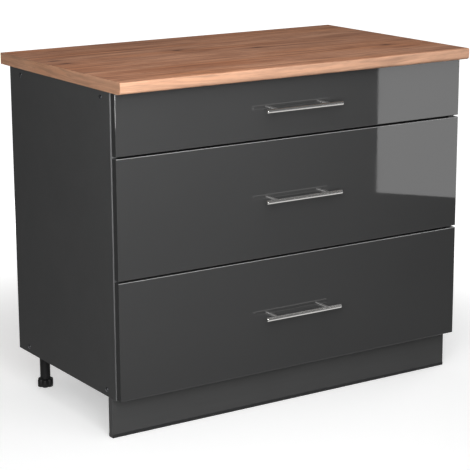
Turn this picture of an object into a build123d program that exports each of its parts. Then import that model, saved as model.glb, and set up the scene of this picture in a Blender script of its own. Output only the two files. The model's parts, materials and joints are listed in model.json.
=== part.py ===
from build123d import *
import os

os.makedirs("parts", exist_ok=True)

# Kitchen base cabinet with a worktop and three drawers, in millimetres.
# X runs to the right, Y to the back, Z up; the floor is Z = 0 and the fronts face -Y.

# Carcass
cabinet_width = 1000.0
carcass_height = 724.0
carcass_depth = 502.0
carcass_lift = 98.0           # lower edge of the side panels above the floor
board = 16.0                  # coated chipboard
edge_radius = 1.0             # rounding of the edge banding
panel_inset = 8.0             # bottom panel and rails sit inside the side panels' ends
top_rail_width = 95.0
back_thickness = 3.0
back_inset = 10.0             # rear face of the back panel to the rear edge of the sides
groove_depth = 6.0
groove_clearance = 0.2

# Worktop
worktop_thickness = 28.0
worktop_side_overhang = 2.0
worktop_nose = 31.0           # worktop edge ahead of the drawer fronts
worktop_rear_overhang = 47.0
nose_top_radius = 4.0
nose_bottom_radius = 8.0
end_band = 1.0

# Drawer fronts
front_thickness = 18.0
front_side_gap = 2.0
front_gap = 5.0
front_rise = 2.0              # lowest front above the lower edge of the sides
top_gap = 3.0
large_share = 2               # a large front is twice as high as the upper one
upper_share = 1
front_edge_radius = 1.5
bumper_thickness = 2.0
bumper_radius = 4.0
bumper_inset = 30.0

# Handles
bar_length = 220.0
bar_radius = 5.0
bar_chamfer = 0.8
bar_standoff = 30.0           # bar axis ahead of the front
post_spacing = 150.0
post_radius = 4.0
saddle_clearance = 0.05
handle_screw_radius = 2.0
handle_screw_head_radius = 4.2
handle_screw_head = 2.4
handle_screw_bite = 12.0

# Carcass screws
screw_front_inset = 43.0
screw_rear_inset = 56.0
screw_head_radius = 6.0
screw_head = 1.8              # low heads, standing proud of the side panels
screw_shank_radius = 3.0
screw_length = 50.0
screw_socket_radius = 2.4
screw_socket_depth = 1.4
screw_socket_sides = 6
hole_clearance = 0.1
head_sides = 8                # flats of a screw head, bumper, rivet head, railing cup or leg socket
shank_sides = 6               # flats of a screw shank, peg or pilot hole

# Plinth
plinth_setback = 40.0         # plinth face behind the drawer fronts
plinth_thickness = 16.0
plinth_top_gap = 1.0
seal_wall = 1.0
seal_height = 8.0

# Legs
leg_side_inset = 45.0         # leg axis to the outer face of the side panel
leg_rear_inset = 50.0         # leg axis to the rear edge of the side panel
leg_plinth_gap = 36.0         # front leg axis behind the plinth board
tube_radius = 13.0
tube_wall = 3.0
foot_lobes = 6
foot_lobe_radius = 10.5
foot_lobe_offset = 10.5       # lobe centres to the leg axis
foot_height = 20.0
foot_stem = 40.0
stem_sides = 12               # flats of the foot's stem and of the tube's bore
foot_play = 1.0               # foot to tube when the foot is screwed right in
thread_clearance = 0.15
socket_flange = 56.0
socket_plate = 4.0
socket_floor = 2.0
socket_boss_radius = 17.0
socket_boss = 18.0
socket_clearance = 0.1
peg_radius = 5.0
peg_length = 11.0
peg_spacing = 36.0
clip_wall = 2.6
clip_height = 14.0
clip_level = 45.0
clip_mouth = 17.0
clip_plate_width = 34.0
clip_plate = 3.0
clip_arm_width = 12.0

# Roller runners
sheet = 1.2
rail_setback = 2.0            # rail end behind the front edge of the carcass
rail_rear_space = 37.0        # rail end to the back panel
rail_width = 9.5
rail_lift = 24.0              # rail above the lower edge of its drawer front
roller_radius = 9.0
roller_width = 6.4
roller_offset = 2.4           # roller to the inner face of the side panel
roller_inset = 14.0           # roller axle to the end of its rail or drawer side
roller_gap = 0.3
axle_radius = 2.5
axle_sides = 8                # flats of an axle and of the bore round it
axle_clearance = 0.05
axle_head_radius = 4.0
axle_head = 0.7
axle_play = 0.2
roller_notch = 26.0           # upper flange cut away over the front roller
runner_screw_radius = 3.0
runner_screw_head_radius = 4.5
runner_screw_bite = 11.0
runner_screw_inset = 60.0     # screws to the ends of the rail

# Steel drawer sides
runner_space = 11.0           # side panel to drawer side
drawer_rear_space = 41.0      # drawer end to the back panel
side_lift = 4.0               # drawer side above the foot of the rail
side_share = 0.6              # height of a drawer side as a share of the upper front
hem_radius = 1.0
track_gap = 1.0               # drawer track above the rail
track_width = 8.8
ledge_width = 21.8
hem_width = 6.2
hem_drop = 6.0

# Drawer box
box_clearance = 0.6           # floor and back clear the bend of the drawer sides
upper_back_share = 0.4        # height of a drawer back as a share of its front
large_back_share = 0.6
bracket_plate = 1.5
bracket_reach = 45.0
bracket_width = 27.0
bracket_height = 40.0
bracket_rise = 6.0            # bracket above the drawer floor
bracket_corner = 3.0
bracket_screw_radius = 2.0
bracket_screw_head_radius = 3.6
bracket_screw_head = 1.8
bracket_screw_bite = 12.0
bracket_screw_spacing = 24.0
railing_radius = 5.0
railing_offset = 14.0         # railing axis to the drawer side
railing_share = 0.82          # height of the railing axis as a share of the drawer back
railing_cup_radius = 9.0
railing_cup = 10.0

# Worktop brackets
angle_leg = 28.0
angle_drop = 26.0
angle_sheet = 2.0
angle_width = 20.0
angle_shares = (0.3, 0.7)     # places along the depth of the carcass

# Places worked out from the sizes
inner_half = cabinet_width / 2 - board
carcass_top = carcass_lift + carcass_height
handle_reach = bar_standoff + bar_radius
worktop_depth = worktop_nose + front_thickness + bumper_thickness + carcass_depth + worktop_rear_overhang
face_y = (handle_reach + worktop_nose - worktop_depth) / 2
front_back_y = face_y + front_thickness
carcass_front = front_back_y + bumper_thickness
carcass_rear = carcass_front + carcass_depth
back_front_y = carcass_rear - back_inset - back_thickness
floor_panel_z = carcass_lift + panel_inset
top_rail_z = carcass_top - panel_inset - board
front_width = cabinet_width - 2 * front_side_gap
front_column = carcass_height - front_rise - top_gap - 2 * front_gap
front_unit = front_column / (2 * large_share + upper_share)
large_front = large_share * front_unit
upper_front = upper_share * front_unit
lower_front_z = carcass_lift + front_rise
middle_front_z = lower_front_z + large_front + front_gap
upper_front_z = middle_front_z + large_front + front_gap
large_back = large_back_share * large_front
upper_back = upper_back_share * upper_front
drawers = (
    ("lower", lower_front_z, large_front, large_back),
    ("middle", middle_front_z, large_front, large_back),
    ("upper", upper_front_z, upper_front, upper_back),
)
deep_drawers = ("lower", "middle")
rail_front = carcass_front + rail_setback
rail_length = back_front_y - rail_front - rail_rear_space
rail_height = 2 * sheet + 2 * roller_radius + 2 * roller_gap
runner_screw_places = (runner_screw_inset, rail_length - runner_screw_inset)
side_front = front_back_y
side_length = back_front_y - side_front - drawer_rear_space
side_height = side_share * upper_front
railing_rise = railing_share * large_back

corner = (Align.MIN, Align.MIN, Align.MIN)
centred = (Align.CENTER, Align.MIN, Align.MIN)
along_x = (0, 90, 0)
along_y = (90, 0, 0)


def save(builder, name):
    builder.part.label = name
    export_step(builder.part, f"parts/{name}.step")


def upright(y):
    # A plane facing the front at depth y: x to the right, y up, extruding towards -Y
    return Plane.XZ.offset(-y)


def studs(plane, spots, radius, sides, length):
    # Equal prisms standing on a plane: screw heads, shanks and pegs, or the holes for them
    with BuildPart() as group:
        with BuildSketch(plane):
            with Locations(*spots):
                RegularPolygon(radius, sides)
        extrude(amount=length)
    return group.part


# Worktop with a rounded front edge, and the bands that cover its cut ends
def worktop_slab(left, width):
    with BuildPart() as slab:
        with BuildSketch(Plane.YZ.offset(left)) as profile:
            with Locations((face_y - worktop_nose, carcass_top)):
                Rectangle(worktop_depth, worktop_thickness, align=(Align.MIN, Align.MIN))
            fillet(profile.vertices().group_by(Axis.Y)[0].sort_by(Axis.X)[0], nose_bottom_radius)
            fillet(profile.vertices().group_by(Axis.Y)[-1].sort_by(Axis.X)[0], nose_top_radius)
        extrude(amount=width)
    return slab.part


worktop_left = -cabinet_width / 2 - worktop_side_overhang
with BuildPart() as worktop:
    add(worktop_slab(worktop_left + end_band, -2 * (worktop_left + end_band)))
save(worktop, "worktop")

with BuildPart() as worktop_end_bands:
    add(worktop_slab(worktop_left, end_band))
    mirror(about=Plane.YZ)
save(worktop_end_bands, "worktop_end_bands")

# Side panels: grooved for the back, bored for the carcass screws and the runner screws
screw_rows = (carcass_front + screw_front_inset, carcass_rear - screw_rear_inset)
floor_screw_z = floor_panel_z + board / 2
rail_screw_z = top_rail_z + board / 2
screw_spots = [(y, z) for y in screw_rows for z in (floor_screw_z, rail_screw_z)]
runner_screw_spots = [
    (rail_front + place, bottom + rail_lift + rail_height / 2)
    for _, bottom, _, _ in drawers
    for place in runner_screw_places
]

with BuildPart() as left_side_panel:
    with Locations((-cabinet_width / 2, carcass_front, carcass_lift)):
        Box(board, carcass_depth, carcass_height, align=corner)
    fillet(left_side_panel.edges().filter_by(Axis.Z).group_by(Axis.Y)[0], edge_radius)
    with Locations((-inner_half - groove_depth, back_front_y - groove_clearance, carcass_lift)):
        groove_width = back_thickness + 2 * groove_clearance
        Box(groove_depth, groove_width, carcass_height, align=corner, mode=Mode.SUBTRACT)
    outer_face = Plane.YZ.offset(-cabinet_width / 2)
    shank_hole = screw_shank_radius + hole_clearance
    add(studs(outer_face, screw_spots, shank_hole, shank_sides, board), mode=Mode.SUBTRACT)
    inner_face = Plane.YZ.offset(-inner_half)
    pilot_hole = runner_screw_radius + hole_clearance
    pilot_depth = runner_screw_bite + hole_clearance
    add(studs(inner_face, runner_screw_spots, pilot_hole, shank_sides, -pilot_depth), mode=Mode.SUBTRACT)
save(left_side_panel, "left_side_panel")

with BuildPart() as right_side_panel:
    mirror(left_side_panel.part, about=Plane.YZ)
save(right_side_panel, "right_side_panel")

# Bottom panel and the two flat rails under the worktop, bored in their ends
screw_end = screw_length - screw_head - board       # how far a screw reaches into a board's end
end_bore = screw_end + hole_clearance
left_leg_x = -cabinet_width / 2 + leg_side_inset
front_leg_y = face_y + plinth_setback + plinth_thickness + leg_plinth_gap
rear_leg_y = carcass_rear - leg_rear_inset
leg_spots = [(x, y) for x in (left_leg_x, -left_leg_x) for y in (front_leg_y, rear_leg_y)]
peg_spots = [(x, y + dy) for x, y in leg_spots for dy in (-peg_spacing / 2, peg_spacing / 2)]


def cross_board(name, front_y, depth, bottom, bored_rows, pegs):
    with BuildPart() as cross:
        with Locations((0, front_y, bottom)):
            Box(2 * inner_half, depth, board, align=centred)
        front_edges = cross.edges().filter_by(Axis.X).group_by(Axis.Y)[0]
        fillet(front_edges, edge_radius)
        bores = [(y, bottom + board / 2) for y in bored_rows]
        bore_radius = screw_shank_radius + hole_clearance
        for end, depth_in in ((-inner_half, end_bore), (inner_half, -end_bore)):
            add(studs(Plane.YZ.offset(end), bores, bore_radius, shank_sides, depth_in), mode=Mode.SUBTRACT)
        if pegs:
            peg_hole = peg_radius + hole_clearance
            peg_depth = peg_length + hole_clearance
            add(studs(Plane.XY.offset(bottom), pegs, peg_hole, shank_sides, peg_depth), mode=Mode.SUBTRACT)
    save(cross, name)


floor_depth = back_front_y - carcass_front
rear_rail_y = back_front_y - top_rail_width
cross_board("bottom_panel", carcass_front, floor_depth, floor_panel_z, screw_rows, peg_spots)
cross_board("front_top_rail", carcass_front, top_rail_width, top_rail_z, screw_rows[:1], [])
cross_board("rear_top_rail", rear_rail_y, top_rail_width, top_rail_z, screw_rows[1:], [])

# Thin back panel, slid down the grooves and covering the bottom panel's rear edge
with BuildPart() as back_panel:
    with Locations((0, back_front_y, floor_panel_z)):
        back_width = 2 * (inner_half + groove_depth - groove_clearance)
        Box(back_width, back_thickness, carcass_top - floor_panel_z, align=centred)
save(back_panel, "back_panel")

# Screws through the sides, with a hexagon socket in each head
with BuildPart() as carcass_screws:
    head_plane = Plane.YZ.offset(-cabinet_width / 2 - screw_head)
    add(studs(head_plane, screw_spots, screw_head_radius, head_sides, screw_head))
    add(studs(head_plane, screw_spots, screw_shank_radius, shank_sides, screw_length))
    sockets = studs(head_plane, screw_spots, screw_socket_radius, screw_socket_sides, screw_socket_depth)
    add(sockets, mode=Mode.SUBTRACT)
    mirror(about=Plane.YZ)
save(carcass_screws, "carcass_screws")

# Steel angles that hold the worktop to the side panels
with BuildPart() as worktop_brackets:
    for share in angle_shares:
        with BuildSketch(upright(carcass_front + share * carcass_depth + angle_width / 2)):
            with BuildLine():
                Polyline(
                    (-inner_half, carcass_top),
                    (-inner_half, carcass_top - angle_drop),
                    (-inner_half + angle_sheet, carcass_top - angle_drop),
                    (-inner_half + angle_sheet, carcass_top - angle_sheet),
                    (-inner_half + angle_leg, carcass_top - angle_sheet),
                    (-inner_half + angle_leg, carcass_top),
                    close=True,
                )
            make_face()
        extrude(amount=angle_width)
    mirror(about=Plane.YZ)
save(worktop_brackets, "worktop_brackets")

# Plinth board, set back under the fronts, with a sealing profile over its lower edge
plinth_face = face_y + plinth_setback
with BuildPart() as plinth_board:
    with Locations((0, plinth_face, seal_wall)):
        plinth_height = carcass_lift - plinth_top_gap - seal_wall
        Box(cabinet_width, plinth_thickness, plinth_height, align=centred)
save(plinth_board, "plinth_board")

with BuildPart() as plinth_seal:
    with Locations((0, plinth_face - seal_wall, 0)):
        Box(cabinet_width, plinth_thickness + 2 * seal_wall, seal_height, align=centred)
    with Locations((0, plinth_face, seal_wall)):
        Box(cabinet_width, plinth_thickness, seal_height, align=centred, mode=Mode.SUBTRACT)
    fillet(plinth_seal.edges().filter_by(Axis.X).group_by(Axis.Z)[-1].group_by(Axis.Y)[0], seal_wall / 2)
save(plinth_seal, "plinth_seal")

# Leg sockets pegged under the bottom panel, tubes plugged into them
plate_z = floor_panel_z - socket_plate
tube_top = floor_panel_z - socket_floor
tube_bottom = foot_height + foot_play
with BuildPart() as leg_sockets:
    with BuildSketch(Plane.XY.offset(plate_z)):
        with Locations(*leg_spots):
            Rectangle(socket_flange, socket_flange)
    extrude(amount=socket_plate)
    add(studs(Plane.XY.offset(plate_z), leg_spots, socket_boss_radius, head_sides, -socket_boss))
    with BuildSketch(Plane.XY.offset(tube_top)):
        with Locations(*leg_spots):
            RegularPolygon(tube_radius + socket_clearance, head_sides, major_radius=False)
    extrude(amount=plate_z - socket_boss - tube_top, mode=Mode.SUBTRACT)
    add(studs(Plane.XY.offset(floor_panel_z), peg_spots, peg_radius, shank_sides, peg_length))
save(leg_sockets, "leg_sockets")

with BuildPart() as leg_tubes:
    with BuildSketch(Plane.XY.offset(tube_bottom)):
        with Locations(*leg_spots):
            Circle(tube_radius)
            RegularPolygon(tube_radius - tube_wall, stem_sides, major_radius=False, mode=Mode.SUBTRACT)
    extrude(amount=tube_top - tube_bottom)
save(leg_tubes, "leg_tubes")

# Clips that hold the plinth to the front legs
with BuildPart() as plinth_clips:
    plinth_back = plinth_face + plinth_thickness
    with BuildSketch(Plane.XY.offset(clip_level)):
        for x in (left_leg_x, -left_leg_x):
            with Locations((x, front_leg_y)):
                Circle(tube_radius + clip_wall)
            with Locations((x, plinth_back)):
                Rectangle(clip_arm_width, leg_plinth_gap, align=(Align.CENTER, Align.MIN))
                Rectangle(clip_plate_width, clip_plate, align=(Align.CENTER, Align.MIN))
            with Locations((x, front_leg_y)):
                Circle(tube_radius + socket_clearance, mode=Mode.SUBTRACT)
                mouth_align = (Align.CENTER, Align.MIN)
                Rectangle(clip_mouth, tube_radius + clip_wall, align=mouth_align, mode=Mode.SUBTRACT)
    extrude(amount=clip_height)
save(plinth_clips, "plinth_clips")


# Screw-in feet: a lobed grip like a flower, and a stem in the tube
def foot(name, x, y):
    with BuildPart() as grip:
        with BuildSketch():
            with Locations((x, y)):
                Circle(foot_lobe_offset)
                with PolarLocations(foot_lobe_offset, foot_lobes):
                    Circle(foot_lobe_radius)
        extrude(amount=foot_height)
        stem_radius = tube_radius - tube_wall - thread_clearance
        add(studs(Plane.XY.offset(foot_height), [(x, y)], stem_radius, stem_sides, foot_stem))
    save(grip, name)


foot("front_left_foot", left_leg_x, front_leg_y)
foot("front_right_foot", -left_leg_x, front_leg_y)
foot("rear_left_foot", left_leg_x, rear_leg_y)
foot("rear_right_foot", -left_leg_x, rear_leg_y)

# Soft bumpers on the side panels' front edges, where the closed fronts rest
with BuildPart() as front_bumpers:
    bumper_x = cabinet_width / 2 - board / 2
    bumper_spots = [
        (-bumper_x, z)
        for _, bottom, height, _ in drawers
        for z in (bottom + bumper_inset, bottom + height - bumper_inset)
    ]
    add(studs(upright(carcass_front), bumper_spots, bumper_radius, head_sides, bumper_thickness))
    mirror(about=Plane.YZ)
save(front_bumpers, "front_bumpers")

# Roller runners: a channel rail on each side panel with a roller at its front end
front_roller_y = rail_front + roller_inset
rear_roller_y = side_front + side_length - roller_inset
rear_roller_rise = sheet + roller_gap + roller_radius
track_rise = rail_height + track_gap
front_roller_rise = track_rise - roller_gap - roller_radius
web_x = -inner_half + runner_space          # outer face of the left drawer side


def cabinet_rails(level, base):
    foot_x = -inner_half
    lip_x = foot_x + rail_width
    top = base + rail_height
    with BuildPart() as rails:
        with BuildSketch(upright(rail_front + rail_length)):
            with BuildLine():
                Polyline(
                    (foot_x, base),
                    (lip_x, base),
                    (lip_x, base + sheet),
                    (foot_x + sheet, base + sheet),
                    (foot_x + sheet, top - sheet),
                    (lip_x, top - sheet),
                    (lip_x, top),
                    (foot_x, top),
                    close=True,
                )
            make_face()
        extrude(amount=rail_length)
        with Locations((foot_x + sheet, rail_front, top - sheet)):
            Box(rail_width, roller_notch, sheet, align=corner, mode=Mode.SUBTRACT)
        screw_holes = [(rail_front + place, base + rail_height / 2) for place in runner_screw_places]
        hole_radius = runner_screw_head_radius + hole_clearance
        add(studs(Plane.YZ.offset(foot_x), screw_holes, hole_radius, head_sides, sheet), mode=Mode.SUBTRACT)
        axle_end = foot_x + roller_offset + roller_width + axle_play
        axle_spot = [(front_roller_y, base + front_roller_rise)]
        axle_length = axle_end - foot_x - sheet
        add(studs(Plane.YZ.offset(foot_x + sheet), axle_spot, axle_radius, axle_sides, axle_length))
        add(studs(Plane.YZ.offset(axle_end), axle_spot, axle_head_radius, head_sides, axle_head))
        mirror(about=Plane.YZ)
    save(rails, f"{level}_cabinet_rails")


def rollers(name, y, z):
    with BuildPart() as pair:
        with BuildSketch(Plane.YZ.offset(-inner_half + roller_offset)):
            with Locations((y, z)):
                Circle(roller_radius)
                bore_radius = axle_radius + axle_clearance
                RegularPolygon(bore_radius, axle_sides, major_radius=False, mode=Mode.SUBTRACT)
        extrude(amount=roller_width)
        mirror(about=Plane.YZ)
    save(pair, name)


for level, bottom, _, _ in drawers:
    cabinet_rails(level, bottom + rail_lift)
    rollers(f"{level}_front_rollers", front_roller_y, bottom + rail_lift + front_roller_rise)
    rollers(f"{level}_rear_rollers", rear_roller_y, bottom + rail_lift + rear_roller_rise)

with BuildPart() as runner_screws:
    panel_face = Plane.YZ.offset(-inner_half)
    add(studs(panel_face, runner_screw_spots, runner_screw_head_radius, head_sides, sheet))
    add(studs(panel_face, runner_screw_spots, runner_screw_radius, shank_sides, -runner_screw_bite))
    mirror(about=Plane.YZ)
save(runner_screws, "runner_screws")


# Drawer side: one bent sheet with a ledge for the floor, a folded track and a hemmed top
def drawer_sides(level, base):
    inside = web_x + sheet
    foot_z = base + side_lift
    track_z = base + track_rise
    top = foot_z + side_height
    track_x = web_x - track_width
    hem_x = web_x - hem_width
    with BuildPart() as left:
        with BuildSketch(upright(side_front + side_length)) as section:
            with BuildLine():
                Polyline(
                    (inside + ledge_width, foot_z),
                    (web_x, foot_z),
                    (web_x, track_z),
                    (track_x, track_z),
                    (track_x, track_z + 2 * sheet),
                    (web_x, track_z + 2 * sheet),
                    (web_x, top - sheet),
                    (hem_x + sheet, top - sheet),
                    (hem_x + sheet, top - hem_drop),
                    (hem_x, top - hem_drop),
                    (hem_x, top),
                    (inside, top),
                    (inside, foot_z + sheet),
                    (inside + ledge_width, foot_z + sheet),
                    close=True,
                )
            make_face()
            fillet(section.vertices().group_by(Axis.Y)[-1], hem_radius)
        extrude(amount=side_length)
        axle_end = -inner_half + roller_offset - axle_play
        axle_spot = [(rear_roller_y, base + rear_roller_rise)]
        add(studs(Plane.YZ.offset(axle_end), axle_spot, axle_radius, axle_sides, web_x - axle_end))
        add(studs(Plane.YZ.offset(axle_end), axle_spot, axle_head_radius, head_sides, -axle_head))
        collar = runner_space - roller_offset - roller_width - axle_play
        add(studs(Plane.YZ.offset(web_x), axle_spot, axle_head_radius, head_sides, -collar))
    save(left, f"{level}_drawer_left_side")
    with BuildPart() as right:
        mirror(left.part, about=Plane.YZ)
    save(right, f"{level}_drawer_right_side")


# Drawer floor on the ledges, and the back standing on it between the sides
box_half = -(web_x + sheet + box_clearance)
floor_rise = side_lift + sheet + board


def drawer_boards(level, base, back_height):
    with BuildPart() as floor:
        with Locations((0, side_front, base + side_lift + sheet)):
            Box(2 * box_half, side_length, board, align=centred)
    save(floor, f"{level}_drawer_bottom")
    with BuildPart() as back:
        with Locations((0, side_front + side_length - board, base + floor_rise)):
            Box(2 * box_half, board, back_height, align=centred)
        fillet(back.edges().filter_by(Axis.X).group_by(Axis.Z)[-1], edge_radius)
    save(back, f"{level}_drawer_back")


# Angle brackets that join the sides to the front, each with two screws
bracket_screw_x = web_x + sheet + bracket_plate + (bracket_width - bracket_plate) / 2


def bracket_screw_heights(base):
    middle = base + floor_rise + bracket_rise + bracket_height / 2
    return (middle - bracket_screw_spacing / 2, middle + bracket_screw_spacing / 2)


def drawer_brackets(level, base):
    with BuildPart() as brackets:
        with BuildSketch(Plane.XY.offset(base + floor_rise + bracket_rise)):
            with Locations((web_x + sheet, side_front)):
                Rectangle(bracket_width, bracket_plate, align=(Align.MIN, Align.MIN))
                Rectangle(bracket_plate, bracket_reach, align=(Align.MIN, Align.MIN))
        extrude(amount=bracket_height)
        tips = brackets.edges().filter_by(Axis.X).group_by(Axis.Y)[-1]
        chamfer(tips, bracket_corner)
        holes = [(bracket_screw_x, z) for z in bracket_screw_heights(base)]
        hole_radius = bracket_screw_radius + hole_clearance
        add(studs(upright(side_front), holes, hole_radius, shank_sides, -bracket_plate), mode=Mode.SUBTRACT)
        mirror(about=Plane.YZ)
    save(brackets, f"{level}_drawer_brackets")


# Round railings from the front to the back of a deep drawer, with a cup at each end
def drawer_railings(level, base):
    railing_x = web_x + sheet + railing_offset
    railing_z = base + floor_rise + railing_rise
    railing_end = side_front + side_length - board
    with BuildPart() as railings:
        with BuildSketch(upright(railing_end)):
            with Locations((railing_x, railing_z)):
                Circle(railing_radius)
        extrude(amount=railing_end - side_front)
        for end in (railing_end, side_front + railing_cup):
            add(studs(upright(end), [(railing_x, railing_z)], railing_cup_radius, head_sides, railing_cup))
        mirror(about=Plane.YZ)
    save(railings, f"{level}_drawer_railings")


# Drawer front with a bar handle on two posts, screwed on from inside
def drawer_front(level, bottom, height, base):
    handle_z = bottom + height / 2
    post_xs = (-post_spacing / 2, post_spacing / 2)
    rear_face = upright(front_back_y)
    handle_spots = [(x, handle_z) for x in post_xs]
    bracket_spots = [(x, z) for x in (bracket_screw_x, -bracket_screw_x) for z in bracket_screw_heights(base)]
    with BuildPart() as panel:
        with Locations((0, face_y, bottom)):
            Box(front_width, front_thickness, height, align=centred)
        fillet(panel.faces().sort_by(Axis.Y)[0].edges(), front_edge_radius)
        handle_hole = handle_screw_radius + hole_clearance
        add(studs(rear_face, handle_spots, handle_hole, shank_sides, front_thickness), mode=Mode.SUBTRACT)
        pilot_hole = bracket_screw_radius + hole_clearance
        pilot_depth = bracket_screw_bite + hole_clearance
        add(studs(rear_face, bracket_spots, pilot_hole, shank_sides, pilot_depth), mode=Mode.SUBTRACT)
    save(panel, f"{level}_drawer_front")

    bar_y = face_y - bar_standoff
    with BuildPart() as bar:
        with Locations((0, bar_y, handle_z)):
            Cylinder(bar_radius, bar_length, rotation=along_x)
        chamfer(bar.edges().filter_by(GeomType.CIRCLE), bar_chamfer)
    save(bar, f"{level}_handle_bar")

    with BuildPart() as posts:
        with Locations(*[(x, face_y - bar_standoff / 2, handle_z) for x in post_xs]):
            Cylinder(post_radius, bar_standoff, rotation=along_y)
        with Locations((0, bar_y, handle_z)):
            saddle_radius = bar_radius + saddle_clearance
            Cylinder(saddle_radius, bar_length, rotation=along_x, mode=Mode.SUBTRACT)
        tapped = handle_screw_bite + hole_clearance
        add(studs(upright(face_y), handle_spots, handle_hole, shank_sides, tapped), mode=Mode.SUBTRACT)
    save(posts, f"{level}_handle_posts")

    with BuildPart() as screws:
        handle_screw = front_thickness + handle_screw_bite
        add(studs(rear_face, handle_spots, handle_screw_radius, shank_sides, handle_screw))
        add(studs(rear_face, handle_spots, handle_screw_head_radius, head_sides, -handle_screw_head))
        plate_face = upright(front_back_y + bracket_plate)
        bracket_screw = bracket_screw_bite + bracket_plate
        add(studs(plate_face, bracket_spots, bracket_screw_radius, shank_sides, bracket_screw))
        add(studs(plate_face, bracket_spots, bracket_screw_head_radius, head_sides, -bracket_screw_head))
    save(screws, f"{level}_front_screws")


for level, bottom, height, back_height in drawers:
    base = bottom + rail_lift
    drawer_front(level, bottom, height, base)
    drawer_sides(level, base)
    drawer_boards(level, base, back_height)
    drawer_brackets(level, base)
    if level in deep_drawers:
        drawer_railings(level, base)
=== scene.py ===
import json
import math
import bmesh
import bpy
from mathutils import Matrix, Vector


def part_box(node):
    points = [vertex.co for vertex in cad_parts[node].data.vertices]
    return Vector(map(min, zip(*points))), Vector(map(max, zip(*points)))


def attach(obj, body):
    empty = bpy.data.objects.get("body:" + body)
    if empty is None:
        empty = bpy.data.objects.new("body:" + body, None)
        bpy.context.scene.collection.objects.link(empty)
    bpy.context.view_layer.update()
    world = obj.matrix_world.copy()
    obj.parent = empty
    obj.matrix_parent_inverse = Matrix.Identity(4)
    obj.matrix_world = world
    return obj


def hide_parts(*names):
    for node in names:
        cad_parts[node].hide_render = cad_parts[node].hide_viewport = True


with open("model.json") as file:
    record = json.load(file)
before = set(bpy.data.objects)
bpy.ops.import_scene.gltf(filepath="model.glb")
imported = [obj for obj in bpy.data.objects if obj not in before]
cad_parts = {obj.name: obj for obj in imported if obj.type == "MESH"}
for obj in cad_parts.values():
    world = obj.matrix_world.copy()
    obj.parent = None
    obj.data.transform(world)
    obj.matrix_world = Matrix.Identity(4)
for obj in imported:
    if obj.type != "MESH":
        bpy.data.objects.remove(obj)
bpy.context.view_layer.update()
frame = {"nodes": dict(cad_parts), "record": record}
nodes = frame["nodes"]
levels = ("lower", "middle", "upper")
print("frame loaded with", len(nodes), "CAD nodes")


# small helpers for node trees
def feed(tree, socket, value):
    # links a socket or sets a plain value; colours are written without their alpha
    if isinstance(value, bpy.types.NodeSocket):
        tree.links.new(value, socket)
    elif socket.type == "RGBA":
        socket.default_value = (*value, 1.0)
    else:
        socket.default_value = value


def put(tree, kind, feeds=None, **settings):
    node = tree.nodes.new("ShaderNode" + kind)
    for key, value in settings.items():
        setattr(node, key, value)
    for key, value in (feeds or {}).items():
        feed(tree, node.inputs[key], value)
    return node


def calc(tree, operation, a, b=0.0):
    return put(tree, "Math", {0: a, 1: b}, operation=operation).outputs[0]


def weigh(tree, *shares):
    # the sum of (value, weight) pairs
    terms = [calc(tree, "MULTIPLY", value, weight) for value, weight in shares]
    total = terms[0]
    for term in terms[1:]:
        total = calc(tree, "ADD", total, term)
    return total


# a Mix node has sockets for every kind of data: 6 and 7 are its colours, 2 and 3 its values
def mixColor(tree, factor, a, b, blend="MIX"):
    return put(tree, "Mix", {0: factor, 6: a, 7: b}, data_type="RGBA", blend_type=blend).outputs[2]


def mixValue(tree, factor, a, b):
    return put(tree, "Mix", {0: factor, 2: a, 3: b}).outputs[0]


def remap(tree, value, fromLow, fromHigh, toLow=0.0, toHigh=1.0, curve="LINEAR"):
    limits = {"From Min": fromLow, "From Max": fromHigh, "To Min": toLow, "To Max": toHigh}
    return put(tree, "MapRange", {"Value": value, **limits}, interpolation_type=curve).outputs[0]


def split(tree, vector):
    return put(tree, "SeparateXYZ", {"Vector": vector}).outputs


def join(tree, **axes):
    return put(tree, "CombineXYZ", axes).outputs[0]


def scaled(tree, vector, scale, offset=(0.0, 0.0, 0.0)):
    return put(tree, "Mapping", {"Vector": vector, "Scale": scale, "Location": offset}).outputs[0]


def noise(tree, vector, scale=1.0, detail=2.0, rough=0.5, twist=0.0, stretch=None, offset=(0.0, 0.0, 0.0)):
    if stretch:
        vector = scaled(tree, vector, stretch, offset)
    return put(tree, "TexNoise", {"Vector": vector, "Scale": scale, "Detail": detail, "Roughness": rough,
                                  "Distortion": twist}).outputs[0]


def cells(tree, vector, scale, **settings):
    return put(tree, "TexVoronoi", {"Vector": vector, "Scale": scale}, **settings).outputs


def oneChannel(tree, color):
    # a cell's random colour taken as one random value
    return put(tree, "SeparateColor", {"Color": color}).outputs[0]


def ramp(tree, value, stops):
    node = put(tree, "ValToRGB", {"Fac": value})
    band = node.color_ramp
    while len(band.elements) < len(stops):
        band.elements.new(0.5)
    for element, (stop, color) in zip(band.elements, stops):
        element.position = stop
        element.color = (*color, 1.0)
    return node.outputs[0]


def newGroup(name, ins, outs):
    group = bpy.data.node_groups.new(name, "ShaderNodeTree")
    for kind, label, value in ins:
        socket = group.interface.new_socket(label, in_out="INPUT", socket_type="NodeSocket" + kind)
        if value is not None:
            socket.default_value = value
    for kind, label in outs:
        group.interface.new_socket(label, in_out="OUTPUT", socket_type="NodeSocket" + kind)
    return group, group.nodes.new("NodeGroupInput").outputs, group.nodes.new("NodeGroupOutput").inputs


def place(tree, group, feeds):
    return put(tree, "Group", feeds, node_tree=group).outputs


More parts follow.
